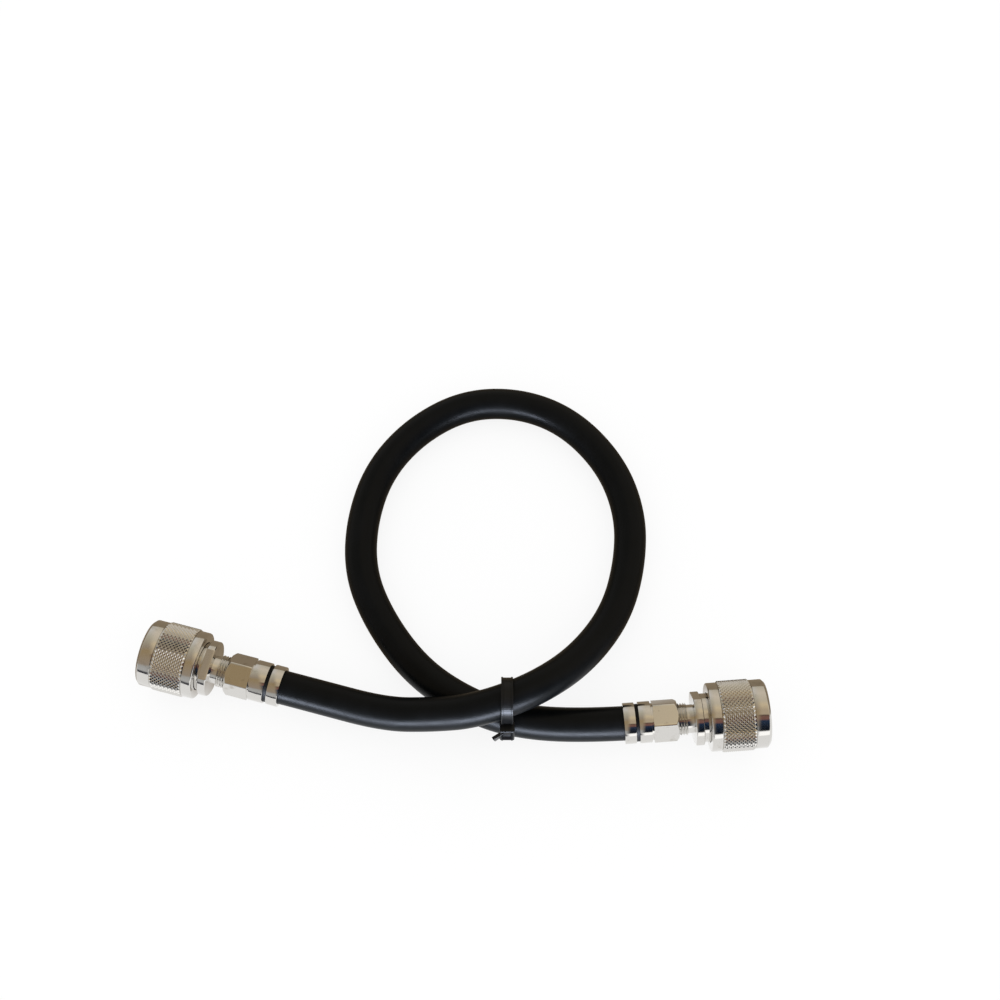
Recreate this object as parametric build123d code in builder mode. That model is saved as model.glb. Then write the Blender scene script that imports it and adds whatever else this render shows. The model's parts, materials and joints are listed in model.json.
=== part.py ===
from build123d import *
from math import cos, pi, radians, sin, tan
import os

# Coaxial jumper cable with an N-type male clamp connector on each end, lying in one tied loop.
# Lengths are millimetres, Z is up, and the bench is the plane Z = 0.
# Stations are measured along a connector from the open end of its nut towards the cable.

# Cable
jacket_diameter = 10.3
dielectric_diameter = 7.2
conductor_diameter = 2.74

# Coupling nut, 5/8-24 UNEF inside
nut_diameter = 20.4
knurl_diameter = 21.4
front_ring_length = 4.8
knurl_length = 9.8
rear_ring_length = 3.6
front_bevel = 0.8
rear_round = 0.7
knurl_bevel = 0.4
lead_in_diameter = 16.2
lead_in_depth = 2.2
thread_minor_diameter = 14.84
thread_length = 7.4
relief_diameter = 16.2
relief_length = 1.4

# Snap ring between the nut and the connector body
snap_ring_thickness = 1.1
snap_ring_outside = 16.2
snap_ring_inside = 12.7
snap_ring_gap = 3.0
snap_ring_setback = 3.3

# Connector body
sleeve_recess = 2.5
sleeve_outside = 8.0
sleeve_inside = 7.0
sleeve_length = 8.7
hub_diameter = 14.5
hub_showing = 1.3
flange_diameter = 17.4
flange_length = 2.6
flange_across_flats = 14.0
flange_bevel = 0.3
neck_diameter = 9.4
neck_length = 2.0
body_thread_diameter = 10.7
body_thread_root = 9.8
body_thread_pitch = 0.8
body_thread_length = 7.2
body_bore_diameter = 7.5
bead_shoulder = 2.2
cone_depth = 1.0

# Face gasket, insulator bead and centre contact
gasket_outside = 13.8
gasket_inside = 10.0
gasket_thickness = 1.0
bead_nose_length = 2.4
bead_flange_length = 2.0
pin_tip_diameter = 1.6
pin_tip_recess = 0.6
pin_tip_length = 4.5
pin_diameter = 3.0
pin_shoulder_length = 0.4
pot_diameter = 3.7
pot_length = 4.55
solder_depth = 3.4

# Clamp nut, braid clamp, rubber seal and rear ring
neck_showing = 4.5
hex_across_flats = 12.0
hex_length = 8.0
hex_groove_length = 0.5
hex_groove_diameter = 11.7
collar_diameter = 12.8
collar_length = 3.7
collar_bevel = 0.3
braid_clamp_length = 2.1
braid_clamp_nose = 0.9
braid_clamp_nose_diameter = 8.8
seal_outside = 11.2
seal_showing = 1.1
seal_grip = 1.85
rear_ring_diameter = 12.3
rear_ring_end_length = 3.7

# Clearances
turning_gap = 0.2
slip_gap = 0.05
seat_gap = 0.05
cable_gap = 0.8

# Where the connectors lie on the bench
left_mouth = (-93.0, 10.4)
left_heading = -14.1
left_flange_turn = 1.0
left_hex_turn = 11.2
right_mouth = (94.6, -8.6)
right_heading = 183.5
right_flange_turn = 68.0
right_hex_turn = -1.2
rise = 3.5

# The cable's route between the connectors, from the left one round the loop to the right one
lead_out = 10.0
bench = jacket_diameter / 2
route = [
    (-20.1, -8.4, 9.2), (-5.6, -9.4, 12.8), (7.9, -9.2, 17.2), (25.4, -3.1, 18.2), (39.9, 8.2, 11.8),
    (51.3, 24.0, 6.8), (56.5, 41.7, bench), (57.3, 58.7, bench), (51.7, 76.2, bench), (38.5, 91.8, bench),
    (21.9, 99.2, bench), (3.3, 98.8, bench), (-13.1, 89.2, bench), (-24.9, 74.6, bench),
    (-30.1, 56.7, bench), (-30.0, 38.7, bench), (-23.3, 22.6, bench), (-11.7, 6.8, bench),
    (2.1, -3.4, 6.2), (18.4, -10.1, 7.15),
]

# Cable tie round both strands where they cross
tie_x = 16.9
tie_lower = (-9.1, 7.05)
tie_upper = (-6.05, 17.7)
strap_width = 3.5
strap_thickness = 1.0
tie_head_width = 4.4
tie_head_height = 5.4
tie_head_depth = 3.6
tie_stub_length = 2.6
tie_stub_direction = (-0.85, -0.5, -0.15)

# Stations worked out from the lengths
knurl_start = front_ring_length
knurl_end = knurl_start + knurl_length
nut_end = knurl_end + rear_ring_length
flange_start = nut_end + hub_showing
flange_end = flange_start + flange_length
neck_end = flange_end + neck_length
body_end = neck_end + body_thread_length
hub_start = sleeve_recess + sleeve_length
bead_start = hub_start + bead_shoulder - bead_nose_length
snap_ring_start = hub_start + snap_ring_setback
hex_start = flange_end + neck_showing
hex_end = hex_start + hex_length
collar_start = hex_end + hex_groove_length
collar_end = collar_start + collar_length
rear_ring_start = collar_end + seal_showing
rear_ring_end = rear_ring_start + rear_ring_end_length
braid_clamp_start = body_end + slip_gap
braid_clamp_end = braid_clamp_start + braid_clamp_length
jacket_start = braid_clamp_end + 2 * seat_gap
jacket_bore = jacket_diameter + 2 * slip_gap
pin_shoulder = sleeve_recess + pin_tip_recess + pin_tip_length
pot_start = bead_start + 2.0
pot_end = pot_start + pot_length
core_start = pot_end + seat_gap
conductor_start = pot_end - solder_depth + seat_gap


def connector_plane(mouth, heading):
    """Plane at a connector's open end: its z runs down the axis to the cable and its x leans upwards."""
    axis = Vector(cos(radians(rise)) * cos(radians(heading)), cos(radians(rise)) * sin(radians(heading)),
                  -sin(radians(rise)))
    above = Vector(sin(radians(rise)) * cos(radians(heading)), sin(radians(rise)) * sin(radians(heading)),
                   cos(radians(rise)))
    height = knurl_diameter / 2 * cos(radians(rise)) + (knurl_end - knurl_bevel) * sin(radians(rise))
    return Plane(origin=(mouth[0], mouth[1], height), x_dir=above, z_dir=axis)


def section_plane(end):
    """Plane through a connector's axis: x is the station and y is the radius."""
    return Plane(origin=end.origin, x_dir=end.z_dir, z_dir=end.z_dir.cross(end.x_dir))


def turned_plane(end, station, turn):
    """Plane across a connector at a station, turned about the axis."""
    across = end.offset(station)
    return Plane(origin=across.origin, x_dir=across.x_dir.rotate(turned(end), turn), z_dir=across.z_dir)


def turned(end):
    """Axis that the turned pieces of a connector share."""
    return Axis(end.origin, end.z_dir)


def make_coupling_nut(end):
    """Coupling nut: smooth ring, knurled band and smooth ring, with the thread and the snap ring's groove."""
    outer, band = nut_diameter / 2, knurl_diameter / 2
    lead_in, thread, relief = lead_in_diameter / 2, thread_minor_diameter / 2, relief_diameter / 2
    hub_bore = hub_diameter / 2 + turning_gap
    groove = snap_ring_outside / 2 + turning_gap
    groove_start = snap_ring_start - turning_gap
    groove_end = snap_ring_start + snap_ring_thickness + turning_gap
    with BuildPart() as coupling_nut:
        with BuildSketch(section_plane(end)):
            with BuildLine():
                Polyline(
                    (0, lead_in), (0, outer - front_bevel), (front_bevel, outer), (knurl_start, outer),
                    (knurl_start + knurl_bevel, band), (knurl_end - knurl_bevel, band), (knurl_end, outer),
                    (nut_end - rear_round, outer),
                )
                RadiusArc((nut_end - rear_round, outer), (nut_end, outer - rear_round), rear_round)
                Polyline(
                    (nut_end, outer - rear_round), (nut_end, hub_bore), (groove_end, hub_bore),
                    (groove_end, groove), (groove_start, groove), (groove_start, hub_bore),
                    (lead_in_depth + thread_length + relief_length, hub_bore),
                    (lead_in_depth + thread_length + relief_length, relief),
                    (lead_in_depth + thread_length, relief), (lead_in_depth + thread_length, thread),
                    (lead_in_depth, thread), (lead_in_depth, lead_in), (0, lead_in),
                )
            make_face()
        revolve(axis=turned(end))
    return coupling_nut


def make_retaining_ring(end):
    """Split snap ring in the hub's groove, which the coupling nut turns on."""
    with BuildPart() as retaining_ring:
        with BuildSketch(end.offset(snap_ring_start)):
            Circle(snap_ring_outside / 2)
            Circle(snap_ring_inside / 2, mode=Mode.SUBTRACT)
            with Locations((-snap_ring_outside / 2, 0)):
                Rectangle(snap_ring_outside, snap_ring_gap, mode=Mode.SUBTRACT)
        extrude(amount=snap_ring_thickness)
    return retaining_ring


def make_face_gasket(end):
    """Silicone face gasket on the front of the hub."""
    with BuildPart() as face_gasket:
        with BuildSketch(end.offset(hub_start - gasket_thickness)):
            Circle(gasket_outside / 2)
            Circle(gasket_inside / 2, mode=Mode.SUBTRACT)
        extrude(amount=gasket_thickness)
    return face_gasket


def thread_ridges(start, end_station, crest, root, pitch):
    """Outline of an outside thread drawn as rings, from start to the last whole ring before its end."""
    rings = int((end_station - start) / pitch)
    points = []
    for ring in range(rings):
        points += [(start + ring * pitch, root), (start + (ring + 0.5) * pitch, crest)]
    return points + [(start + rings * pitch, root)]


def make_connector_body(end, flange_turn):
    """Body: contact sleeve, hub for the nut, wrench flange with two flats, and threaded tail."""
    sleeve, hub = sleeve_outside / 2, hub_diameter / 2
    bore, tail_bore = sleeve_inside / 2, body_bore_diameter / 2
    crest, root = body_thread_diameter / 2, body_thread_root / 2
    groove = snap_ring_inside / 2 - slip_gap
    groove_start = snap_ring_start - slip_gap
    groove_end = snap_ring_start + snap_ring_thickness + slip_gap
    cone = braid_clamp_nose_diameter / 2 + slip_gap
    with BuildPart() as connector_body:
        with BuildSketch(section_plane(end)):
            with BuildLine():
                Polyline(
                    (sleeve_recess, bore), (sleeve_recess, sleeve), (hub_start, sleeve), (hub_start, hub),
                    (groove_start, hub), (groove_start, groove), (groove_end, groove), (groove_end, hub),
                    (flange_start + flange_length / 2, hub),
                    (flange_start + flange_length / 2, neck_diameter / 2), (neck_end, neck_diameter / 2),
                    *thread_ridges(neck_end, body_end - cone_depth, crest, root, body_thread_pitch),
                    (body_end, root), (body_end, cone), (body_end - cone_depth, tail_bore),
                    (hub_start + bead_shoulder, tail_bore), (hub_start + bead_shoulder, bore),
                    close=True,
                )
            make_face()
        revolve(axis=turned(end))
        with BuildSketch(turned_plane(end, flange_start, flange_turn)):
            Circle(flange_diameter / 2)
            Rectangle(flange_across_flats, flange_diameter, mode=Mode.INTERSECT)
            Circle(hub_diameter / 2 - 1, mode=Mode.SUBTRACT)
        extrude(amount=flange_length)
    return connector_body


def make_insulator(end):
    """Insulator bead that centres the contact in the body."""
    with BuildPart() as insulator:
        with BuildSketch(section_plane(end)):
            with BuildLine():
                Polyline(
                    (bead_start, pin_diameter / 2 + slip_gap),
                    (bead_start, sleeve_inside / 2 - slip_gap),
                    (hub_start + bead_shoulder + slip_gap, sleeve_inside / 2 - slip_gap),
                    (hub_start + bead_shoulder + slip_gap, body_bore_diameter / 2 - slip_gap),
                    (bead_start + bead_nose_length + bead_flange_length, body_bore_diameter / 2 - slip_gap),
                    (bead_start + bead_nose_length + bead_flange_length, pot_diameter / 2 + slip_gap),
                    (pot_start - slip_gap, pot_diameter / 2 + slip_gap),
                    (pot_start - slip_gap, pin_diameter / 2 + slip_gap),
                    close=True,
                )
            make_face()
        revolve(axis=turned(end))
    return insulator


def make_contact_pin(end):
    """Centre contact: rounded tip, shoulder and solder pot."""
    tip, shaft, pot = pin_tip_diameter / 2, pin_diameter / 2, pot_diameter / 2
    tip_start = sleeve_recess + pin_tip_recess
    well = conductor_diameter / 2 + slip_gap
    with BuildPart() as contact_pin:
        with BuildSketch(section_plane(end)):
            with BuildLine():
                RadiusArc((tip_start, 0), (tip_start + tip, tip), tip)
                Polyline(
                    (tip_start + tip, tip), (pin_shoulder, tip), (pin_shoulder + pin_shoulder_length, shaft),
                    (pot_start, shaft), (pot_start, pot), (pot_end, pot), (pot_end, well),
                    (pot_end - solder_depth, well), (pot_end - solder_depth, 0), (tip_start, 0),
                )
            make_face()
        revolve(axis=turned(end))
    return contact_pin


def make_conductor_end(end):
    """Bare centre conductor between the solder pot and the jacket."""
    with BuildPart() as conductor_end:
        with BuildSketch(end.offset(conductor_start)):
            Circle(conductor_diameter / 2)
        extrude(amount=jacket_start - seat_gap - conductor_start)
    return conductor_end


def make_core_end(end):
    """Stripped dielectric round the conductor."""
    with BuildPart() as core_end:
        with BuildSketch(end.offset(core_start)):
            Circle(dielectric_diameter / 2)
            Circle(conductor_diameter / 2 + slip_gap, mode=Mode.SUBTRACT)
        extrude(amount=jacket_start - seat_gap - core_start)
    return core_end


def make_braid_clamp(end):
    """Cone ring that squeezes the braid into the body's tail."""
    inside, nose = body_bore_diameter / 2, braid_clamp_nose_diameter / 2
    rim = body_thread_diameter / 2
    with BuildPart() as braid_clamp:
        with BuildSketch(section_plane(end)):
            with BuildLine():
                Polyline(
                    (braid_clamp_start - braid_clamp_nose * 0.7, inside), (braid_clamp_start, nose - slip_gap),
                    (braid_clamp_start, rim), (braid_clamp_end, rim), (braid_clamp_end, inside),
                    close=True,
                )
            make_face()
        revolve(axis=turned(end))
    return braid_clamp


def make_clamp_nut(end, hex_turn):
    """Clamp nut: chamfered hexagon, thin groove and round collar with the seal's pocket."""
    thread_bore = body_thread_diameter / 2 + slip_gap
    corner = hex_across_flats / 2 / cos(radians(30))
    bevel = corner - hex_across_flats / 2
    collar = collar_diameter / 2
    groove = hex_groove_diameter / 2
    with BuildPart() as clamp_nut:
        with BuildSketch(turned_plane(end, hex_start, hex_turn)):
            RegularPolygon(hex_across_flats / 2, 6, major_radius=False, rotation=30)
        extrude(amount=hex_length)
        with BuildSketch(section_plane(end)):
            with BuildLine():
                Polyline(
                    (hex_start, 0), (hex_start, hex_across_flats / 2 - bevel / 4),
                    (hex_start + bevel, corner + bevel / 4), (hex_end, corner + bevel / 4), (hex_end, 0),
                    close=True,
                )
            make_face()
        revolve(axis=turned(end), mode=Mode.INTERSECT)
        with BuildSketch(section_plane(end)):
            with BuildLine():
                Polyline(
                    (hex_end, 0), (hex_end, groove), (collar_start, groove), (collar_start, collar - collar_bevel),
                    (collar_start + collar_bevel, collar), (collar_end - collar_bevel, collar),
                    (collar_end, collar - collar_bevel), (collar_end, 0),
                    close=True,
                )
            make_face()
        revolve(axis=turned(end))
        with BuildSketch(section_plane(end)):
            with BuildLine():
                Polyline(
                    (hex_start, 0), (hex_start, thread_bore), (braid_clamp_end + seat_gap, thread_bore),
                    (braid_clamp_end + seat_gap, jacket_bore / 2), (collar_end - seal_grip - seat_gap, jacket_bore / 2),
                    (collar_end - seal_grip - seat_gap, seal_outside / 2 + slip_gap),
                    (collar_end, seal_outside / 2 + slip_gap), (collar_end, 0),
                    close=True,
                )
            make_face()
        revolve(axis=turned(end), mode=Mode.SUBTRACT)
    return clamp_nut


def make_seal_ring(end):
    """Rubber sleeve on the jacket, held in the pockets of the collar and the rear ring."""
    with BuildPart() as seal_ring:
        with BuildSketch(end.offset(collar_end - seal_grip)):
            Circle(seal_outside / 2)
            Circle(jacket_bore / 2, mode=Mode.SUBTRACT)
        extrude(amount=seal_showing + 2 * seal_grip)
    return seal_ring


def make_rear_ring(end):
    """Plain ring that closes the connector round the cable."""
    outer = rear_ring_diameter / 2
    with BuildPart() as rear_ring:
        with BuildSketch(section_plane(end)):
            with BuildLine():
                Polyline(
                    (rear_ring_start, seal_outside / 2 + slip_gap), (rear_ring_start, outer - collar_bevel),
                    (rear_ring_start + collar_bevel, outer), (rear_ring_end - collar_bevel, outer),
                    (rear_ring_end, outer - collar_bevel), (rear_ring_end, jacket_bore / 2),
                    (rear_ring_start + seal_grip + seat_gap, jacket_bore / 2),
                    (rear_ring_start + seal_grip + seat_gap, seal_outside / 2 + slip_gap),
                    close=True,
                )
            make_face()
        revolve(axis=turned(end))
    return rear_ring


def make_cable(left_end, right_end):
    """Jacketed cable: straight runs joined by arcs as large as the runs allow."""
    ends = [(end.origin + end.z_dir * jacket_start, end.origin + end.z_dir * (rear_ring_end + lead_out))
            for end in (left_end, right_end)]
    points = [ends[0][0], ends[0][1], *[Vector(*point) for point in route], ends[1][1], ends[1][0]]
    runs = [after - before for before, after in zip(points, points[1:])]
    radii = [0.45 * min(first.length, second.length) / tan(radians(first.get_angle(second) / 2))
             for first, second in zip(runs, runs[1:])]
    print("cable radii:", [round(radius, 1) for radius in radii])
    with BuildPart() as cable:
        with BuildLine():
            path = FilletPolyline(*points, radius=radii)
        with BuildSketch(Plane(origin=points[0], z_dir=runs[0])):
            Circle(jacket_diameter / 2)
        sweep()
    print("cable length:", round(path.length, 1), "section times length:",
          round(path.length * jacket_diameter ** 2 * pi / 4), "volume:", round(cable.part.volume))
    return cable


def make_cable_tie():
    """Cable tie: flat strap round both strands, with its head at their waist and the cut-off tail."""
    lower, upper = Vector(tie_x, *tie_lower), Vector(tie_x, *tie_upper)
    middle = (lower + upper) / 2
    inside = jacket_diameter + 2 * cable_gap
    spread = (upper - lower).length
    back = Plane(origin=middle - Vector(strap_width / 2, 0, 0), x_dir=upper - lower, z_dir=(1, 0, 0))
    head_back = Plane(origin=middle - Vector(tie_head_width / 2, 0, 0), x_dir=upper - lower, z_dir=(1, 0, 0))
    with BuildPart() as cable_tie:
        with BuildSketch(back):
            SlotCenterToCenter(spread, inside + 2 * strap_thickness)
            SlotCenterToCenter(spread, inside, mode=Mode.SUBTRACT)
        extrude(amount=strap_width)
        with BuildSketch(head_back):
            with Locations((0, inside / 2 + tie_head_depth / 2)):
                RectangleRounded(tie_head_height, tie_head_depth, 0.5)
        extrude(amount=tie_head_width)
        head = middle - Vector(0, inside / 2 + tie_head_depth / 2, 0)
        with BuildSketch(Plane(origin=head, x_dir=(0, 0, 1), z_dir=tie_stub_direction)):
            Rectangle(strap_width, strap_thickness)
        extrude(amount=tie_head_width / 2 + tie_stub_length)
    return cable_tie


left = connector_plane(left_mouth, left_heading)
right = connector_plane(right_mouth, right_heading)
pieces = {}
for side, end, flange_turn, hex_turn in (
    ("left", left, left_flange_turn, left_hex_turn),
    ("right", right, right_flange_turn, right_hex_turn),
):
    pieces[f"{side}_coupling_nut"] = make_coupling_nut(end)
    pieces[f"{side}_retaining_ring"] = make_retaining_ring(end)
    pieces[f"{side}_face_gasket"] = make_face_gasket(end)
    pieces[f"{side}_connector_body"] = make_connector_body(end, flange_turn)
    pieces[f"{side}_insulator"] = make_insulator(end)
    pieces[f"{side}_contact_pin"] = make_contact_pin(end)
    pieces[f"{side}_conductor_end"] = make_conductor_end(end)
    pieces[f"{side}_core_end"] = make_core_end(end)
    pieces[f"{side}_braid_clamp"] = make_braid_clamp(end)
    pieces[f"{side}_clamp_nut"] = make_clamp_nut(end, hex_turn)
    pieces[f"{side}_seal_ring"] = make_seal_ring(end)
    pieces[f"{side}_rear_ring"] = make_rear_ring(end)
pieces["cable"] = make_cable(left, right)
pieces["cable_tie"] = make_cable_tie()

os.makedirs("parts", exist_ok=True)
for name, piece in pieces.items():
    piece.part.label = name
    export_step(piece.part, f"parts/{name}.step")
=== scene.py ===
import json
import math

import bmesh
import bpy
from mathutils import Matrix, Vector

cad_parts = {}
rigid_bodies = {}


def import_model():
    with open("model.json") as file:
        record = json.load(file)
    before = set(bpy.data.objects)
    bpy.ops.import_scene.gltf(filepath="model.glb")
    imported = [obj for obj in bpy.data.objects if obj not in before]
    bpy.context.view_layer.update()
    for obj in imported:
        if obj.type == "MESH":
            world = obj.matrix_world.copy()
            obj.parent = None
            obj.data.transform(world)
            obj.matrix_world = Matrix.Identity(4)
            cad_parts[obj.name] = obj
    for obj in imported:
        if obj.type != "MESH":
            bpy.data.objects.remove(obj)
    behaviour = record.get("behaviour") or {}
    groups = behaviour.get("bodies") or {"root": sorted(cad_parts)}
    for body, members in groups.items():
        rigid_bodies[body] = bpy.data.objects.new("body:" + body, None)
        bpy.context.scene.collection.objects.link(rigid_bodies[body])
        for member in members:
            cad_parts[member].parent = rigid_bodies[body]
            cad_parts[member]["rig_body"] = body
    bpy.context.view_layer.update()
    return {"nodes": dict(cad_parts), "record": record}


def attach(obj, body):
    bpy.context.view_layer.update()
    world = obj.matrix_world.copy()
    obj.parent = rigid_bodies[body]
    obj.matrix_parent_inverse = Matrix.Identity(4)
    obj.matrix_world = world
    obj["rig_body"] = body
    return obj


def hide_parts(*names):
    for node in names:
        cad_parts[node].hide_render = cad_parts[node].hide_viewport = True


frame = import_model()
nodes = frame["nodes"]
mounts = {mount["name"]: mount for mount in frame["record"]["mounts"]}
scene = bpy.context.scene
scene.view_settings.view_transform = "Standard"
MM = 0.001

# Camera. It stands over the bench in front of the lead and looks down at it,
# as the picture was taken: steeply, from a little under 400 mm away.
camera_place = Vector((14.8, -93.4, 375.0)) * MM
camera_elevation = math.radians(67)
camera_lens = 44.1
camera_data = bpy.data.cameras.new("bench_camera")
camera_data.lens = camera_lens
camera_data.sensor_width = 36
camera = bpy.data.objects.new("bench_camera", camera_data)
camera.location = camera_place
camera.rotation_euler = (math.pi / 2 - camera_elevation, 0, 0)
scene.collection.objects.link(camera)
scene.camera = camera


# Black polyethylene jacket: an extruded 10.3 mm coax, stiff enough to hold its own loop.
# It leaves the left plug, rides over itself at the tie, and goes round the loop
# to pass under there on its way to the right plug.
def linear(hex_colour):
    """Linear colour of an sRGB hex value."""
    parts = [int(hex_colour[i:i + 2], 16) / 255 for i in (0, 2, 4)]
    return [c / 12.92 if c <= 0.04045 else ((c + 0.055) / 1.055) ** 2.4 for c in parts] + [1.0]


def add(tree, kind, settings=None, inputs=None):
    """A node of that kind with its settings, and its inputs set to values or linked to sockets."""
    made = tree.nodes.new(kind)
    for key, value in (settings or {}).items():
        setattr(made, key, value)
    for key, value in (inputs or {}).items():
        if isinstance(value, bpy.types.NodeSocket):
            tree.links.new(value, made.inputs[key])
        else:
            made.inputs[key].default_value = value
    return made


def surface(name):
    """A new material, its tree, its shader and its Object coordinates."""
    material = bpy.data.materials.new(name)
    material.use_nodes = True
    tree = material.node_tree
    shader = tree.nodes["Principled BSDF"]
    coordinates = tree.nodes.new("ShaderNodeTexCoord").outputs["Object"]
    return material, tree, shader, coordinates


def dress(piece, material, body):
    """Gives a piece its material and its body."""
    piece.data.materials.clear()
    piece.data.materials.append(material)
    if "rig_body" not in piece:
        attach(piece, body)


JACKET_DIAMETER = 10.3
JACKET_START = 33.55
LEAD_OUT_STATION = 53.6
BENCH = JACKET_DIAMETER / 2
ROUTE = [
    (-20.1, -8.4, 9.2), (-5.6, -9.4, 12.8), (7.9, -9.2, 17.2), (25.4, -3.1, 18.2), (39.9, 8.2, 11.8),
    (51.3, 24.0, 6.8), (56.5, 41.7, BENCH), (57.3, 58.7, BENCH), (51.7, 76.2, BENCH), (38.5, 91.8, BENCH),
    (21.9, 99.2, BENCH), (3.3, 98.8, BENCH), (-13.1, 89.2, BENCH), (-24.9, 74.6, BENCH),
    (-30.1, 56.7, BENCH), (-30.0, 38.7, BENCH), (-23.3, 22.6, BENCH), (-11.7, 6.8, BENCH),
    (2.1, -3.4, 6.2), (18.4, -10.1, 7.15),
]


def axis_matrix(mount, station):
    """Place of one end's axis: z runs from station 0 towards the cable, and x leans upwards."""
    outward = Vector(mount["axis"]).normalized()
    z = -outward
    y = z.cross(Vector((0, 0, 1))).normalized()
    x = y.cross(z)
    place = Matrix((x, y, z)).transposed().to_4x4()
    place.translation = Vector(mount["pos_m"]) + outward * station * MM
    return place


# Each nut and each body has its own place on its plug's axis, from the record's mounts.
SLEEVE_RECESS = 2.5
NUTS, BODIES = {}, {}
for side in ("left", "right"):
    for places, mount, recess in ((NUTS, mounts[f"{side}_nut_mouth"], 0.0),
                                  (BODIES, mounts[f"{side}_contact_sleeve"], SLEEVE_RECESS)):
        places[side] = axis_matrix(mount, recess + mount["dims"]["length_mm"] / 2)


def on_axis(side, station):
    """Point on a plug's axis, at a station in millimetres from its body's datum."""
    return BODIES[side] @ Vector((0, 0, station * MM))


cable_points = [on_axis("left", JACKET_START), on_axis("left", LEAD_OUT_STATION)]
cable_points += [Vector(point) * MM for point in ROUTE]
cable_points += [on_axis("right", LEAD_OUT_STATION), on_axis("right", JACKET_START)]

# The jacket is matt and nearly black, finely grained, with long faint rubs that shine a little more.
jacket, tree, shader, place = surface("extruded black polyethylene")
grain = add(tree, "ShaderNodeTexNoise", {}, {"Vector": place, "Scale": 1400.0, "Detail": 4.0})
rubs = add(tree, "ShaderNodeTexNoise", {}, {"Vector": place, "Scale": 90.0, "Detail": 6.0,
                                            "Roughness": 0.65})
polish = add(tree, "ShaderNodeMapRange", {}, {"Value": rubs.outputs["Fac"], "From Min": 0.35,
                                              "From Max": 0.7, "To Min": 0.3, "To Max": 0.44})
tint = add(tree, "ShaderNodeMix", {"data_type": "RGBA"}, {0: rubs.outputs["Fac"], 6: linear("020303"),
                                                          7: linear("070809")})
relief = add(tree, "ShaderNodeBump", {}, {"Height": grain.outputs["Fac"], "Strength": 0.2,
                                          "Distance": 0.0001})
tree.links.new(tint.outputs[2], shader.inputs["Base Color"])
tree.links.new(polish.outputs["Result"], shader.inputs["Roughness"])
tree.links.new(relief.outputs["Normal"], shader.inputs["Normal"])
shader.inputs["IOR"].default_value = 1.2

cable_curve = bpy.data.curves.new("coax_cable", "CURVE")
cable_curve.dimensions = "3D"
cable_curve.bevel_depth = JACKET_DIAMETER / 2 * MM
cable_curve.bevel_resolution = 26
cable_curve.resolution_u = 28
cable_curve.use_fill_caps = True
line = cable_curve.splines.new("NURBS")
line.points.add(len(cable_points) - 1)
for control, point in zip(line.points, cable_points):
    control.co = (*point, 1)
line.order_u = 3
line.use_endpoint_u = True
cable = bpy.data.objects.new("coax_cable", cable_curve)
scene.collection.objects.link(cable)
dress(cable, jacket, "lead")
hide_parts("cable")


# Coupling nuts: brass turned from bar, diamond knurled between two smooth rings, and nickel plated.
# Each turns on its plug's hub, and its 5/8-24 thread draws the plug onto a socket.
def rounded(corners, size=0.12):
    """Open outline whose inner corners are each broken by a small curve; a corner is (station, radius)."""
    outline = [corners[0]]
    for before, corner, after in zip(corners, corners[1:], corners[2:]):
        here = Vector(corner)
        back, on = Vector(before) - here, Vector(after) - here
        cut = min(size, back.length * 0.45, on.length * 0.45)
        first, last = here + back.normalized() * cut, here + on.normalized() * cut
        outline += [tuple(first), tuple(first * 0.25 + here * 0.5 + last * 0.25), tuple(last)]
    return outline + [corners[-1]]


def screw_rows(start, end, pitch, crest, root, run_out=1.0):
    """Outline rows of a helical thread: station, radius at the crest, and how far the groove goes."""
    rows_per_turn = 8
    count = max(2, round((end - start) / pitch * rows_per_turn))
    rows = []
    for i in range(count + 1):
        station = start + (end - start) * i / count
        from_end = min(station - start, end - station)
        fade = min(1.0, from_end / (pitch * run_out) + 0.02)
        rows.append((station, crest, (crest - root) * fade, pitch))
    return rows


def turn(name, place, outline, steps=192, limit=None, extra_angles=()):
    """A turned piece: rows of (station, radius[, groove, pitch]) swept round an axis, as a closed mesh."""
    angles = sorted({2 * math.pi * i / steps for i in range(steps)} | set(extra_angles))
    shape = bmesh.new()
    rings = []
    for row in outline:
        station, radius = row[0], row[1]
        ring = []
        for angle in angles:
            r = radius
            if len(row) > 2:
                phase = (station / row[3] - angle / (2 * math.pi)) % 1.0
                r -= row[2] * min(1.0, max(0.0, 1.4 * abs(2 * phase - 1) - 0.2))
            if limit is not None:
                r = limit(station, r, angle)
            ring.append(shape.verts.new((r * math.cos(angle) * MM, r * math.sin(angle) * MM, station * MM)))
        rings.append(ring)
    for i, ring in enumerate(rings):
        following = rings[(i + 1) % len(rings)]
        for j in range(len(angles)):
            k = (j + 1) % len(angles)
            shape.faces.new((ring[j], ring[k], following[k], following[j]))
    bmesh.ops.remove_doubles(shape, verts=shape.verts, dist=1e-7)
    bmesh.ops.dissolve_degenerate(shape, edges=shape.edges, dist=1e-7)
    bmesh.ops.recalc_face_normals(shape, faces=shape.faces)
    mesh = bpy.data.meshes.new(name)
    shape.to_mesh(mesh)
    shape.free()
    mesh.transform(place)
    mesh.shade_smooth()
    mesh.set_sharp_from_angle(angle=math.radians(35))
    piece = bpy.data.objects.new(name, mesh)
    scene.collection.objects.link(piece)
    return piece


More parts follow.
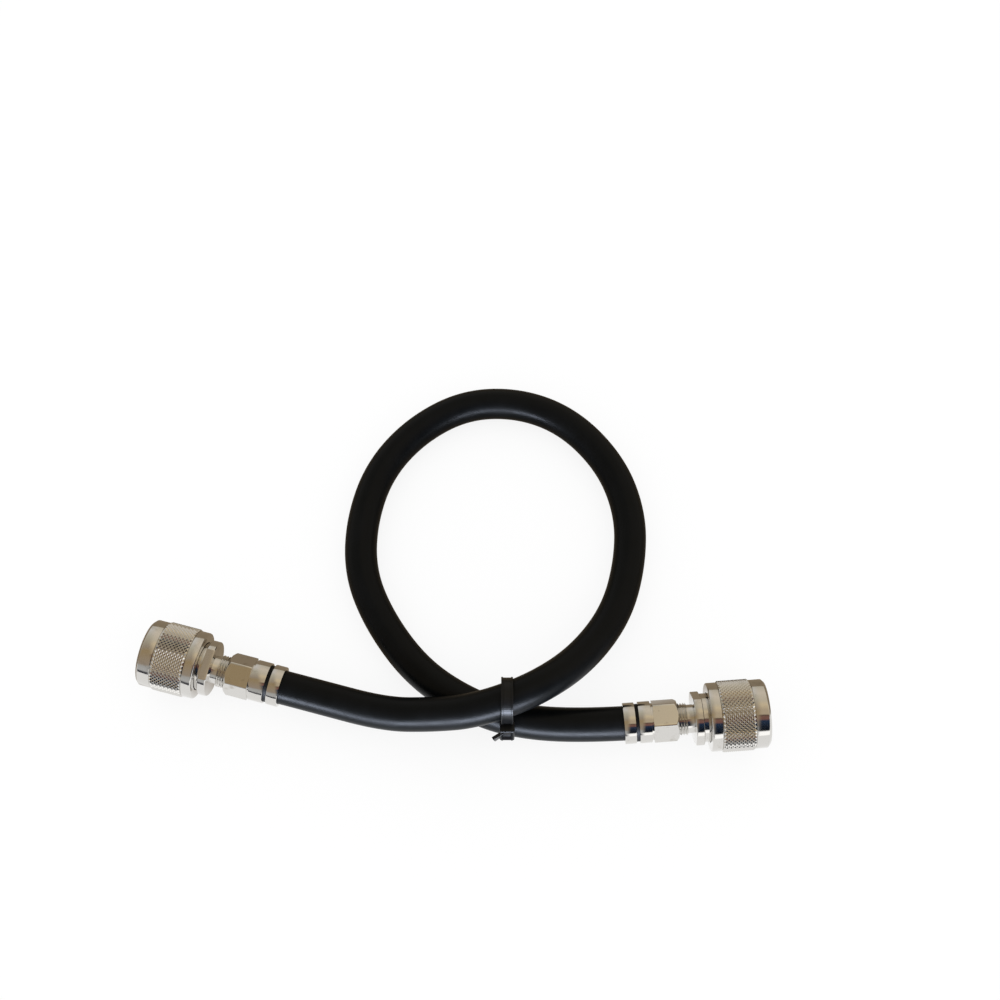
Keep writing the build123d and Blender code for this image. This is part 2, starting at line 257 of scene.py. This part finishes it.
NUT_RADIUS = 10.2
KNURL_ROOT = 10.25
KNURL_RADIUS = 10.6
KNURL_START = 4.5
KNURL_END = 14.2
KNURL_UNDERCUT = 0.35
FRONT_FACE_RADIUS = 9.4
FRONT_BEVEL_LENGTH = 0.8
NUT_LENGTH = 17.4
NUT_ROUND = 0.4
LEAD_IN_RADIUS = 8.1
LEAD_IN_DEPTH = 2.2
NUT_THREAD_PITCH = 25.4 / 24
NUT_THREAD_MINOR = 7.42
NUT_THREAD_MAJOR = 7.95
NUT_THREAD_END = 9.6
NUT_RELIEF_END = 11.0
HUB_BORE_RADIUS = 7.45
SNAP_SLOT_START = 13.2
SNAP_SLOT_END = 15.8
SNAP_SLOT_RADIUS = 8.3
DIAMONDS_AROUND = 54
DIAMOND_ROWS = 15
DIAMOND_LENGTH = 2 * (KNURL_END - KNURL_START) / (DIAMOND_ROWS + 1)


def nickel(name, place_of_plug, roughness, stain):
    """Bright nickel plate over turned brass: a grey mirror with faint turning lines and some tarnish."""
    material, tree, shader, place = surface(name)
    straight = place_of_plug.inverted().to_euler()
    along = add(tree, "ShaderNodeMapping", {}, {"Vector": place, "Rotation": tuple(straight)})
    lines = add(tree, "ShaderNodeTexWave", {"wave_type": "BANDS", "bands_direction": "Z"},
                {"Vector": along.outputs["Vector"], "Scale": 1600.0, "Distortion": 2.0, "Detail": 3.0,
                 "Detail Scale": 2.0})
    cloud = add(tree, "ShaderNodeTexNoise", {}, {"Vector": place, "Scale": 260.0, "Detail": 6.0,
                                                 "Roughness": 0.6})
    specks = add(tree, "ShaderNodeTexNoise", {}, {"Vector": place, "Scale": 2600.0, "Detail": 2.0})
    tarnish = add(tree, "ShaderNodeMapRange", {}, {"Value": cloud.outputs["Fac"], "From Min": 0.58,
                                                   "From Max": 0.8, "To Min": 0.0, "To Max": stain})
    colour = add(tree, "ShaderNodeMix", {"data_type": "RGBA"}, {0: tarnish.outputs["Result"],
                                                                6: linear("d5d3cf"), 7: linear("7f735f")})
    polish = add(tree, "ShaderNodeMapRange", {}, {"Value": cloud.outputs["Fac"], "From Min": 0.3,
                                                  "From Max": 0.75, "To Min": roughness * 0.75,
                                                  "To Max": roughness * 1.5})
    height = add(tree, "ShaderNodeMath", {"operation": "MULTIPLY_ADD"}, {0: lines.outputs["Fac"], 1: 0.35,
                                                                         2: specks.outputs["Fac"]})
    relief = add(tree, "ShaderNodeBump", {}, {"Height": height.outputs["Value"], "Strength": 0.04,
                                              "Distance": 0.00005})
    tree.links.new(colour.outputs[2], shader.inputs["Base Color"])
    tree.links.new(polish.outputs["Result"], shader.inputs["Roughness"])
    tree.links.new(relief.outputs["Normal"], shader.inputs["Normal"])
    shader.inputs["Metallic"].default_value = 1.0
    return material


def knurl_tree():
    """Geometry Nodes: staggered rows of low four-sided diamonds round a cylinder about z."""
    group = bpy.data.node_groups.new("diamond knurl", "GeometryNodeTree")
    sizes = {}
    for name, kind in (("Root radius", "NodeSocketFloat"), ("Height", "NodeSocketFloat"),
                       ("Start", "NodeSocketFloat"), ("Diamond length", "NodeSocketFloat"),
                       ("Around", "NodeSocketInt"), ("Rows", "NodeSocketInt"),
                       ("Plate", "NodeSocketMaterial")):
        sizes[name] = group.interface.new_socket(name, in_out="INPUT", socket_type=kind).identifier
    group.interface.new_socket("Geometry", in_out="OUTPUT", socket_type="NodeSocketGeometry")
    given = group.nodes.new("NodeGroupInput").outputs

    def calc(operation, first, second=0.0):
        return add(group, "ShaderNodeMath", {"operation": operation}, {0: first, 1: second}).outputs["Value"]

    index = group.nodes.new("GeometryNodeInputIndex").outputs["Index"]
    row = calc("FLOOR", calc("DIVIDE", index, given["Around"]))
    place = calc("SUBTRACT", index, calc("MULTIPLY", row, given["Around"]))
    shifted = calc("ADD", place, calc("MULTIPLY", calc("MODULO", row, 2.0), 0.5))
    angle = calc("DIVIDE", calc("MULTIPLY", shifted, 2 * math.pi), given["Around"])
    half_length = calc("DIVIDE", given["Diamond length"], 2.0)
    station = calc("ADD", given["Start"], calc("MULTIPLY", half_length, calc("ADD", row, 1.0)))
    where = add(group, "ShaderNodeCombineXYZ", {}, {
        "X": calc("MULTIPLY", given["Root radius"], calc("COSINE", angle)),
        "Y": calc("MULTIPLY", given["Root radius"], calc("SINE", angle)),
        "Z": station,
    })
    points = add(group, "GeometryNodePoints", {}, {"Count": calc("MULTIPLY", given["Rows"], given["Around"]),
                                                   "Position": where.outputs["Vector"]})
    half_width = calc("DIVIDE", calc("MULTIPLY", given["Root radius"], math.pi), given["Around"])
    diamond = add(group, "GeometryNodeMeshCone", {"fill_type": "NGON"},
                  {"Vertices": 4, "Radius Top": 0.12, "Radius Bottom": 1.0, "Depth": 1.0})
    size = add(group, "ShaderNodeCombineXYZ", {}, {"X": half_length, "Y": half_width, "Z": given["Height"]})
    scaled = add(group, "GeometryNodeTransform", {}, {"Geometry": diamond.outputs["Mesh"],
                                                      "Scale": size.outputs["Vector"]})
    laid = add(group, "GeometryNodeTransform", {}, {"Geometry": scaled.outputs["Geometry"],
                                                    "Rotation": (0.0, math.pi / 2, 0.0)})
    spin = add(group, "ShaderNodeCombineXYZ", {}, {"Z": angle})
    copies = add(group, "GeometryNodeInstanceOnPoints", {}, {"Points": points.outputs["Points"],
                                                             "Instance": laid.outputs["Geometry"],
                                                             "Rotation": spin.outputs["Vector"]})
    real = add(group, "GeometryNodeRealizeInstances", {}, {"Geometry": copies.outputs["Instances"]})
    painted = add(group, "GeometryNodeSetMaterial", {}, {"Geometry": real.outputs["Geometry"],
                                                         "Material": given["Plate"]})
    add(group, "NodeGroupOutput", {}, {"Geometry": painted.outputs["Geometry"]})
    return group, sizes


KNURL, KNURL_SIZES = knurl_tree()


def grown(name, group, sizes, values):
    """Plain mesh object grown by a Geometry Nodes tree from an empty mesh."""
    piece = bpy.data.objects.new(name, bpy.data.meshes.new(name))
    scene.collection.objects.link(piece)
    modifier = piece.modifiers.new("grown", "NODES")
    modifier.node_group = group
    for key, value in values.items():
        modifier[sizes[key]] = value
    evaluated = piece.evaluated_get(bpy.context.evaluated_depsgraph_get())
    mesh = bpy.data.meshes.new_from_object(evaluated)
    piece.modifiers.clear()
    piece.data = mesh
    return piece


def join(pieces, name):
    """Several mesh objects as one, named for the piece that they make."""
    whole = bmesh.new()
    for piece in pieces:
        whole.from_mesh(piece.data)
    first = pieces[0]
    whole.to_mesh(first.data)
    whole.free()
    for piece in pieces[1:]:
        bpy.data.objects.remove(piece)
    first.name = name
    first.data.name = name
    return first


PLATES = {side: nickel(f"bright nickel plate {side}", NUTS[side], 0.08, 0.5) for side in NUTS}
quarter = [math.pi / 8 * i for i in range(5)]

for side, nut_place in NUTS.items():
    edge_station, edge_radius = NUT_LENGTH - NUT_ROUND, NUT_RADIUS - NUT_ROUND
    rear_edge = [(edge_station + NUT_ROUND * math.sin(a), edge_radius + NUT_ROUND * math.cos(a))
                 for a in quarter]
    front = rounded([(LEAD_IN_DEPTH, LEAD_IN_RADIUS), (0, LEAD_IN_RADIUS), (0, FRONT_FACE_RADIUS),
                     (FRONT_BEVEL_LENGTH, NUT_RADIUS), (KNURL_START - 0.15, NUT_RADIUS),
                     (KNURL_START, KNURL_ROOT - KNURL_UNDERCUT), (KNURL_START + 0.02, KNURL_ROOT),
                     (KNURL_END - 0.02, KNURL_ROOT), (KNURL_END, KNURL_ROOT - KNURL_UNDERCUT),
                     (KNURL_END + 0.15, NUT_RADIUS),
                     (edge_station, NUT_RADIUS)])
    back = rounded([(NUT_LENGTH, edge_radius), (NUT_LENGTH, HUB_BORE_RADIUS),
                    (SNAP_SLOT_END, HUB_BORE_RADIUS), (SNAP_SLOT_END, SNAP_SLOT_RADIUS),
                    (SNAP_SLOT_START, SNAP_SLOT_RADIUS), (SNAP_SLOT_START, HUB_BORE_RADIUS),
                    (NUT_RELIEF_END, HUB_BORE_RADIUS),
                    (NUT_RELIEF_END, LEAD_IN_RADIUS), (NUT_THREAD_END, LEAD_IN_RADIUS)])
    thread = screw_rows(LEAD_IN_DEPTH, NUT_THREAD_END, NUT_THREAD_PITCH, NUT_THREAD_MINOR, NUT_THREAD_MAJOR)
    ring = turn(f"{side}_nut", nut_place, front + rear_edge[1:-1] + back + thread[::-1])
    knurl = grown(f"{side}_knurl", KNURL, KNURL_SIZES, {
        "Root radius": (KNURL_ROOT - 0.02) * MM, "Height": (KNURL_RADIUS - KNURL_ROOT + 0.02) * MM,
        "Start": KNURL_START * MM, "Diamond length": DIAMOND_LENGTH * MM, "Around": DIAMONDS_AROUND,
        "Rows": DIAMOND_ROWS, "Plate": PLATES[side],
    })
    knurl.data.transform(nut_place)
    nut = join([ring, knurl], f"{side}_knurled_nut")
    dress(nut, PLATES[side], f"{side}_nut")
    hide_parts(f"{side}_coupling_nut")


# Connector bodies: one turned brass piece each, with the contact sleeve, the hub that the nut turns on,
# a wrench flange milled with two flats, a plain relief and the threaded tail.
SLEEVE_END = 11.2
SLEEVE_RADIUS = 4.0
SLEEVE_BORE_RADIUS = 3.5
BEAD_SEAT = 13.4
HUB_RADIUS = 7.25
RING_SLOT_START = 14.45
RING_SLOT_END = 15.65
RING_SLOT_RADIUS = 6.3
FLANGE_START = 19.4
FLANGE_END = 21.9
FLANGE_RADIUS = 8.4
FLANGE_HALF_FLATS = 7.0
NECK_RADIUS = 4.25
NECK_END = 23.9
TAIL_PITCH = 0.8
TAIL_CREST = 4.85
TAIL_ROOT = 4.4
TAIL_THREAD_END = 30.3
TAIL_END = 31.1
CONE_START = 30.1
CONE_MOUTH_RADIUS = 4.15
TAIL_BORE_RADIUS = 3.75
FLANGE_TURN = {"left": 4.5, "right": 62.0}
# The left plug's flange and hexagon stand a little nearer to its nut than the right one's.
SET_FORWARD = {"left": 0.7, "right": 0.0}


def flats(turn_degrees, forward):
    """Limit that mills two flats on the flange, their normal turned from the upward direction."""
    middle = math.radians(turn_degrees)

    def limit(station, radius, angle):
        if not FLANGE_START - 0.01 < station + forward < FLANGE_END + 0.01 or radius < HUB_RADIUS + 0.1:
            return radius
        inset = 0.3 * (FLANGE_RADIUS - radius)
        reach = abs(math.cos(angle - middle))
        return min(radius, (FLANGE_HALF_FLATS - inset) / reach if reach > 0.1 else radius)

    return limit


for side, body_place in BODIES.items():
    forward = SET_FORWARD[side]
    start, end, neck_end = FLANGE_START - forward, FLANGE_END - forward, NECK_END - forward
    front = rounded([(BEAD_SEAT, SLEEVE_BORE_RADIUS), (SLEEVE_RECESS, SLEEVE_BORE_RADIUS),
                     (SLEEVE_RECESS, SLEEVE_RADIUS), (SLEEVE_END, SLEEVE_RADIUS), (SLEEVE_END, HUB_RADIUS),
                     (RING_SLOT_START, HUB_RADIUS), (RING_SLOT_START, RING_SLOT_RADIUS),
                     (RING_SLOT_END, RING_SLOT_RADIUS), (RING_SLOT_END, HUB_RADIUS),
                     (start, HUB_RADIUS)], 0.06)
    flange = [(start, HUB_RADIUS + 0.12)]
    flange += rounded([(start, FLANGE_RADIUS - 0.2), (start + 0.2, FLANGE_RADIUS),
                       (end - 0.2, FLANGE_RADIUS), (end, FLANGE_RADIUS - 0.2)], 0.08)
    neck = rounded([(end, HUB_RADIUS), (end, NECK_RADIUS), (neck_end, NECK_RADIUS)], 0.08)
    tail = screw_rows(neck_end, TAIL_THREAD_END, TAIL_PITCH, TAIL_CREST, TAIL_ROOT, 0.3)
    back = [(TAIL_END, TAIL_ROOT + 0.05), (TAIL_END, CONE_MOUTH_RADIUS), (CONE_START, TAIL_BORE_RADIUS),
            (BEAD_SEAT, TAIL_BORE_RADIUS)]
    corner = math.acos(FLANGE_HALF_FLATS / FLANGE_RADIUS)
    middle = math.radians(FLANGE_TURN[side])
    corners = {(middle + half + sign * corner) % (2 * math.pi) for half in (0, math.pi) for sign in (-1, 1)}
    body = turn(f"{side}_plug_body", body_place, front + flange + neck + tail + back,
                limit=flats(FLANGE_TURN[side], forward), extra_angles=corners)
    dress(body, PLATES[side], "lead")
    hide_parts(f"{side}_connector_body")


# Clamp nuts: hexagonal brass bar, chamfered at the thread end, with a thin groove and a round collar.
# Each screws onto the body's tail and squeezes the braid clamp.
HEX_START = 26.55
HEX_END = 34.0
HEX_HALF_FLATS = 5.7
COLLAR_START = 34.6
COLLAR_END = 38.3
COLLAR_RADIUS = 6.2
HEX_GROOVE_RADIUS = 5.55
CLAMP_BORE_RADIUS = 5.4
CLAMP_BORE_END = 33.5
JACKET_HOLE_RADIUS = 5.2
SEAL_POCKET_RADIUS = 5.65
SEAL_POCKET_START = 36.9
SEAL_POCKET_END = 41.8
HEX_TURN = {"left": 11.2, "right": 4.6}


def hexagon(turn_degrees, forward):
    """Limit that mills the hexagon, its first flat's normal turned from the upward direction."""
    corner_cap = HEX_HALF_FLATS / math.cos(math.radians(29.2))

    def limit(station, radius, angle):
        if not HEX_START - 0.01 < station + forward < HEX_END + 0.01 or radius < HEX_HALF_FLATS - 0.1:
            return radius
        local = (math.degrees(angle) - turn_degrees + 30) % 60 - 30
        return min(radius, HEX_HALF_FLATS / math.cos(math.radians(local)), corner_cap)

    return limit


for side, body_place in BODIES.items():
    start, end = HEX_START - SET_FORWARD[side], HEX_END - SET_FORWARD[side]
    collar_start = COLLAR_START - SET_FORWARD[side]
    chamfer = [(start, CLAMP_BORE_RADIUS), (start, 5.5), (start + 0.04, 5.6)]
    chamfer += [(start + 0.06 + 0.1 * i, HEX_HALF_FLATS + 0.1 * i) for i in range(9)]
    hex_bar = [(end - 0.1, 7.0), (end - 0.03, 6.5), (end, 6.3)]
    collar = rounded([(end, HEX_GROOVE_RADIUS), (collar_start, HEX_GROOVE_RADIUS),
                      (collar_start, COLLAR_RADIUS), (COLLAR_END, COLLAR_RADIUS),
                      (COLLAR_END, SEAL_POCKET_RADIUS), (SEAL_POCKET_START, SEAL_POCKET_RADIUS),
                      (SEAL_POCKET_START, JACKET_HOLE_RADIUS), (CLAMP_BORE_END, JACKET_HOLE_RADIUS),
                      (CLAMP_BORE_END, CLAMP_BORE_RADIUS)], 0.12)
    edges = {math.radians(HEX_TURN[side] + 30 + 60 * i + sign * 0.8) % (2 * math.pi)
             for i in range(6) for sign in (-1, 1)}
    clamp = turn(f"{side}_hex_clamp", body_place, chamfer + hex_bar + collar, steps=180,
                 limit=hexagon(HEX_TURN[side], SET_FORWARD[side]), extra_angles=edges)
    dress(clamp, PLATES[side], "lead")
    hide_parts(f"{side}_clamp_nut")


# Rear rings and rubber seals: a plain plated ring closes each plug round the jacket,
# and the black rubber sleeve under it shows as a dark line between the ring and the collar.
RING_START = {"left": 39.4, "right": 39.3}
RING_LENGTH = 3.5
RING_RADIUS = 6.15

rubber, tree, shader, place = surface("moulded black rubber")
grain = add(tree, "ShaderNodeTexNoise", {}, {"Vector": place, "Scale": 1500.0, "Detail": 3.0})
relief = add(tree, "ShaderNodeBump", {}, {"Height": grain.outputs["Fac"], "Strength": 0.2,
                                          "Distance": 0.00005})
tone = add(tree, "ShaderNodeMix", {"data_type": "RGBA"}, {0: grain.outputs["Fac"], 6: linear("030303"),
                                                          7: linear("0a0908")})
tree.links.new(tone.outputs[2], shader.inputs["Base Color"])
tree.links.new(relief.outputs["Normal"], shader.inputs["Normal"])
shader.inputs["Roughness"].default_value = 0.5
shader.inputs["IOR"].default_value = 1.25

for side, body_place in BODIES.items():
    start = RING_START[side]
    end = start + RING_LENGTH
    ring = turn(f"{side}_end_ring", body_place, rounded([
        (start + 0.7, SEAL_POCKET_RADIUS), (start, SEAL_POCKET_RADIUS), (start, RING_RADIUS),
        (end, RING_RADIUS), (end, JACKET_HOLE_RADIUS), (SEAL_POCKET_END, JACKET_HOLE_RADIUS),
        (SEAL_POCKET_END, SEAL_POCKET_RADIUS),
    ], 0.2))
    dress(ring, PLATES[side], "lead")
    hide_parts(f"{side}_rear_ring")
    dress(nodes[f"{side}_seal_ring"], rubber, "lead")


# Inside each plug: a white bead holds the gold-plated centre contact in the sleeve,
# and a red silicone gasket lies on the hub where the socket's rim presses.
def plain(name, dark, light, roughness, metallic=0.0, scale=900.0):
    """A finish of one tone, with the faint unevenness of its making."""
    material, tree, shader, place = surface(name)
    uneven = add(tree, "ShaderNodeTexNoise", {}, {"Vector": place, "Scale": scale, "Detail": 3.0})
    tone = add(tree, "ShaderNodeMix", {"data_type": "RGBA"}, {0: uneven.outputs["Fac"], 6: linear(dark),
                                                              7: linear(light)})
    relief = add(tree, "ShaderNodeBump", {}, {"Height": uneven.outputs["Fac"], "Strength": 0.08,
                                              "Distance": 0.00005})
    tree.links.new(tone.outputs[2], shader.inputs["Base Color"])
    tree.links.new(relief.outputs["Normal"], shader.inputs["Normal"])
    shader.inputs["Roughness"].default_value = roughness
    shader.inputs["Metallic"].default_value = metallic
    return material


INSIDE = {
    "insulator": (plain("turned white PTFE", "dcdcd6", "ecebe6", 0.4), "ptfe"),
    "contact_pin": (plain("gold plate", "c9973f", "dcb05a", 0.22, 1.0), "gold_plate"),
    "face_gasket": (plain("moulded red silicone", "8e2c1c", "a83a26", 0.5), "silicone"),
    "retaining_ring": (plain("spring bronze", "8b6437", "a27a48", 0.35, 1.0), "spring_bronze"),
    "conductor_end": (plain("bare copper", "a8603c", "bd7550", 0.3, 1.0), "copper"),
    "core_end": (plain("foamed polyethylene", "dad8d0", "eeece6", 0.6, 0.0, 2500.0), "foam_dielectric"),
}
for side in BODIES:
    for piece, (material, slot_name) in INSIDE.items():
        dress(nodes[f"{side}_{piece}"], material, "lead")
    dress(nodes[f"{side}_braid_clamp"], PLATES[side], "lead")


# Cable tie: one moulded strip of black nylon pulled tight round both strands of the cable,
# with its square head at their waist and the tail cut off short.
TIE_X = 16.9
TIE_LOWER = Vector((-9.1, 7.05))
TIE_UPPER = Vector((-6.05, 17.7))
TIE_INSIDE = 5.75
STRAP_WIDTH = 3.5
STRAP_THICKNESS = 1.0
HEAD_WIDTH = 4.4
HEAD_HEIGHT = 5.4
HEAD_DEPTH = 3.6
HEAD_OFFSET = 7.3
TAIL_LENGTH = 2.6
TAIL_DIRECTION = Vector((-0.85, -0.5, -0.15)).normalized()

nylon = plain("moulded black nylon", "040404", "0c0c0c", 0.32, 0.0, 500.0)
nylon.node_tree.nodes["Principled BSDF"].inputs["IOR"].default_value = 1.3


def strap_loop(name):
    """Flat strap with raised edges, swept round the two strands in the plane across them."""
    half, step = STRAP_WIDTH / 2, STRAP_THICKNESS
    section = [(-half, 0.1), (-half, step - 0.1), (-half + 0.1, step), (-half + 0.5, step),
               (-half + 0.62, step - 0.2), (half - 0.62, step - 0.2), (half - 0.5, step),
               (half - 0.1, step), (half, step - 0.1), (half, 0.1), (half - 0.1, 0.0), (-half + 0.1, 0.0)]
    up = (TIE_UPPER - TIE_LOWER).normalized()
    tilt = math.atan2(up.y, up.x)
    stops = []
    for centre, first in ((TIE_UPPER, tilt - math.pi / 2), (TIE_LOWER, tilt + math.pi / 2)):
        for i in range(33):
            angle = first + math.pi * i / 32
            stops.append((centre, Vector((math.cos(angle), math.sin(angle)))))
    shape = bmesh.new()
    rings = []
    for centre, outward in stops:
        rings.append([])
        for across, rise in section:
            spot = centre + outward * (TIE_INSIDE + rise)
            rings[-1].append(shape.verts.new(Vector((TIE_X + across, spot.x, spot.y)) * MM))
    for i, ring in enumerate(rings):
        following = rings[(i + 1) % len(rings)]
        for j in range(len(section)):
            k = (j + 1) % len(section)
            shape.faces.new((ring[j], ring[k], following[k], following[j]))
    bmesh.ops.recalc_face_normals(shape, faces=shape.faces)
    mesh = bpy.data.meshes.new(name)
    shape.to_mesh(mesh)
    shape.free()
    piece = bpy.data.objects.new(name, mesh)
    scene.collection.objects.link(piece)
    return piece


def block(name, size, place, bevel, window=None):
    """Moulded block with broken edges, and a window sunk into its front where one is given."""
    shape = bmesh.new()
    bmesh.ops.create_cube(shape, size=1.0)
    bmesh.ops.scale(shape, vec=Vector(size) * MM, verts=shape.verts)
    bmesh.ops.bevel(shape, geom=list(shape.edges), offset=bevel * MM, segments=3, affect="EDGES",
                    profile=0.6)
    if window is not None:
        front = min(shape.faces, key=lambda face: face.calc_center_median().y - face.calc_area())
        bmesh.ops.inset_region(shape, faces=[front], thickness=window[0] * MM)
        bmesh.ops.translate(shape, vec=Vector((0, window[1] * MM, 0)), verts=list(front.verts))
    bmesh.ops.recalc_face_normals(shape, faces=shape.faces)
    mesh = bpy.data.meshes.new(name)
    shape.to_mesh(mesh)
    shape.free()
    mesh.transform(place)
    mesh.shade_smooth()
    mesh.set_sharp_from_angle(angle=math.radians(40))
    piece = bpy.data.objects.new(name, mesh)
    scene.collection.objects.link(piece)
    return piece


middle = (TIE_LOWER + TIE_UPPER) / 2
upward = (TIE_UPPER - TIE_LOWER).normalized()
forward = Vector((-upward.y, upward.x))
lean = math.atan2(upward.x, upward.y)
head_centre = Vector((TIE_X, *(middle + forward * HEAD_OFFSET))) * MM
head_place = Matrix.Translation(head_centre) @ Matrix.Rotation(-lean, 4, "X")
head = block("tie_head", (HEAD_WIDTH, HEAD_DEPTH, HEAD_HEIGHT), head_place, 0.5, (0.9, 0.8))
tail_turn = TAIL_DIRECTION.to_track_quat("X", "Z").to_matrix().to_4x4()
tail_centre = head_centre + TAIL_DIRECTION * (HEAD_WIDTH / 4 + TAIL_LENGTH / 2) * MM
tail = block("tie_tail", (HEAD_WIDTH / 2 + TAIL_LENGTH, STRAP_THICKNESS, STRAP_WIDTH),
             Matrix.Translation(tail_centre) @ tail_turn, 0.15)
tie = join([strap_loop("tie_strap"), head, tail], "nylon_cable_tie")
dress(tie, nylon, "lead")
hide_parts("cable_tie")


# Bench and light. The bench is plain white paper; a low white window stands in front of the lead,
# under a warm ceiling with dark walls between them, which the plate mirrors.
floor_mesh = bpy.data.meshes.new("bench_top")
reach = 4.0
floor_mesh.from_pydata([(-reach, -reach, 0), (reach, -reach, 0), (reach, reach, 0), (-reach, reach, 0)], [],
                       [(0, 1, 2, 3)])
floor = bpy.data.objects.new("bench_top", floor_mesh)
floor.location.z = -0.0002
scene.collection.objects.link(floor)
# White paper: clean and shadowless to the eye, bright before the lead in its mirrors, and behind it a
# painted brown shade that only the mirrors show.
paper, tree, shader, place = surface("white paper")
path = tree.nodes.new("ShaderNodeLightPath").outputs
seen = add(tree, "ShaderNodeMath", {"operation": "MAXIMUM"}, {0: path["Is Camera Ray"],
                                                              1: path["Is Transmission Ray"]})
share = add(tree, "ShaderNodeMath", {"operation": "MULTIPLY"}, {0: seen.outputs["Value"], 1: 0.85})
share = add(tree, "ShaderNodeMath", {"operation": "MAXIMUM"}, {0: share.outputs["Value"],
                                                               1: path["Is Glossy Ray"]})
# Painted shade: in glossy rays the paper turns from white to brown behind the lead by position alone,
# standing in for paper lying in the lead's shadow.
position = tree.nodes.new("ShaderNodeNewGeometry").outputs["Position"]
spot = add(tree, "ShaderNodeSeparateXYZ", {}, {"Vector": position})
painted_shade_behind = add(tree, "ShaderNodeMapRange", {}, {"Value": spot.outputs["Y"], "From Min": -0.004,
                                              "From Max": 0.006, "To Min": 0.0, "To Max": 1.0})
mirrored_painted_shade = add(tree, "ShaderNodeMix", {"data_type": "RGBA"}, {0: painted_shade_behind.outputs["Result"],
                                                              6: linear("ffffff"), 7: linear("92836e")})
tone = add(tree, "ShaderNodeMix", {"data_type": "RGBA"}, {0: path["Is Glossy Ray"], 6: (1, 1, 1, 1),
                                                          7: mirrored_painted_shade.outputs[2]})
white = add(tree, "ShaderNodeEmission", {}, {"Color": tone.outputs[2], "Strength": 1.0})
shader.inputs["Base Color"].default_value = linear("ededed")
shader.inputs["Roughness"].default_value = 0.9
blend = add(tree, "ShaderNodeMixShader", {}, {0: share.outputs["Value"], 1: shader.outputs["BSDF"],
                                              2: white.outputs["Emission"]})
tree.links.new(blend.outputs["Shader"], tree.nodes["Material Output"].inputs["Surface"])
floor.data.materials.append(paper)

world = bpy.data.worlds.new("room")
world.use_nodes = True
scene.world = world
tree = world.node_tree
direction = tree.nodes.new("ShaderNodeTexCoord").outputs["Generated"]
parts = add(tree, "ShaderNodeSeparateXYZ", {}, {"Vector": direction}).outputs
front = add(tree, "ShaderNodeMath", {"operation": "MULTIPLY"}, {0: parts["Y"], 1: -1.0})
angle = add(tree, "ShaderNodeMath", {"operation": "ARCTAN2"}, {0: front.outputs["Value"], 1: parts["Z"]})
turn_share = add(tree, "ShaderNodeMapRange", {}, {"Value": angle.outputs["Value"], "From Min": -math.pi,
                                                  "From Max": math.pi, "To Min": 0.0, "To Max": 1.0})
# Degrees from straight up towards the front, and the room's colour there, on each side of the bench.
ROOM = {
    "right": [(-180, "b0aaa0"), (-95, "a8a294"), (-60, "beb4a5"), (-32, "b4aa98"), (-17, "beae91"),
              (0, "a5967f"), (15, "a5967f"), (18, "40302a"), (22, "6e5046"), (31, "6e4c44"),
              (36, "1c2c42"), (55, "0f1826"), (71, "0d1016"), (75, "ffffff"), (100, "ffffff"),
              (106, "bebebe"), (180, "bebebe")],
    "left": [(-180, "b0aaa0"), (-95, "b4b1aa"), (-70, "b9b6b2"), (-43, "a5a091"), (-7, "8c8070"),
             (6, "8c7a5c"), (53, "8c8073"), (60, "9a9a98"), (78, "a5a5a5"), (83, "3c3c41"), (100, "34343a"),
             (106, "ffffff"), (124, "ffffff"), (130, "d2d2d0"), (180, "d2d2d0")],
}
ramps = {}
for side, stops in ROOM.items():
    ramp = add(tree, "ShaderNodeValToRGB", {}, {"Fac": turn_share.outputs["Result"]})
    ramp.color_ramp.elements.remove(ramp.color_ramp.elements[1])
    for i, (degrees, hex_colour) in enumerate(stops):
        position = (degrees + 180) / 360
        stop = ramp.color_ramp.elements[0] if i == 0 else ramp.color_ramp.elements.new(position)
        stop.position = position
        stop.color = linear(hex_colour)
    ramps[side] = ramp.outputs["Color"]
sideways = add(tree, "ShaderNodeMapRange", {}, {"Value": parts["X"], "From Min": -0.15, "From Max": 0.05,
                                                "To Min": 0.0, "To Max": 1.0})
seen_room = add(tree, "ShaderNodeMix", {"data_type": "RGBA"}, {0: sideways.outputs["Result"],
                                                               6: ramps["left"], 7: ramps["right"]})
path = tree.nodes.new("ShaderNodeLightPath").outputs
room = add(tree, "ShaderNodeBackground", {}, {"Color": seen_room.outputs[2], "Strength": 1.45})
blank = add(tree, "ShaderNodeBackground", {}, {"Color": (1, 1, 1, 1), "Strength": 1.25})
pick = add(tree, "ShaderNodeMixShader", {}, {0: path["Is Glossy Ray"], 1: blank.outputs["Background"],
                                             2: room.outputs["Background"]})
tree.links.new(pick.outputs["Shader"], tree.nodes["World Output"].inputs["Surface"])


def lamp(name, place, aim, width, height, power, hex_colour):
    """Rectangular soft lamp at a place, facing a point."""
    data = bpy.data.lights.new(name, "AREA")
    data.shape = "RECTANGLE"
    data.size, data.size_y = width, height
    data.energy = power
    data.color = linear(hex_colour)[:3]
    made = bpy.data.objects.new(name, data)
    made.location = place
    made.rotation_euler = (Vector(aim) - Vector(place)).to_track_quat("-Z", "Y").to_euler()
    scene.collection.objects.link(made)
    return made


# The strong low sheet in front is kept to the black pieces, which mirror too little to show the window.
blacks = bpy.data.collections.new("black pieces")
for piece in (cable, tie, nodes["left_seal_ring"], nodes["right_seal_ring"]):
    blacks.objects.link(piece)
sheet = lamp("front_sheet", (0.0, -0.6, 0.1), (0.0, 0.0, 0.01), 0.9, 0.2, 22.0, "dfeaff")
sheet.light_linking.receiver_collection = blacks
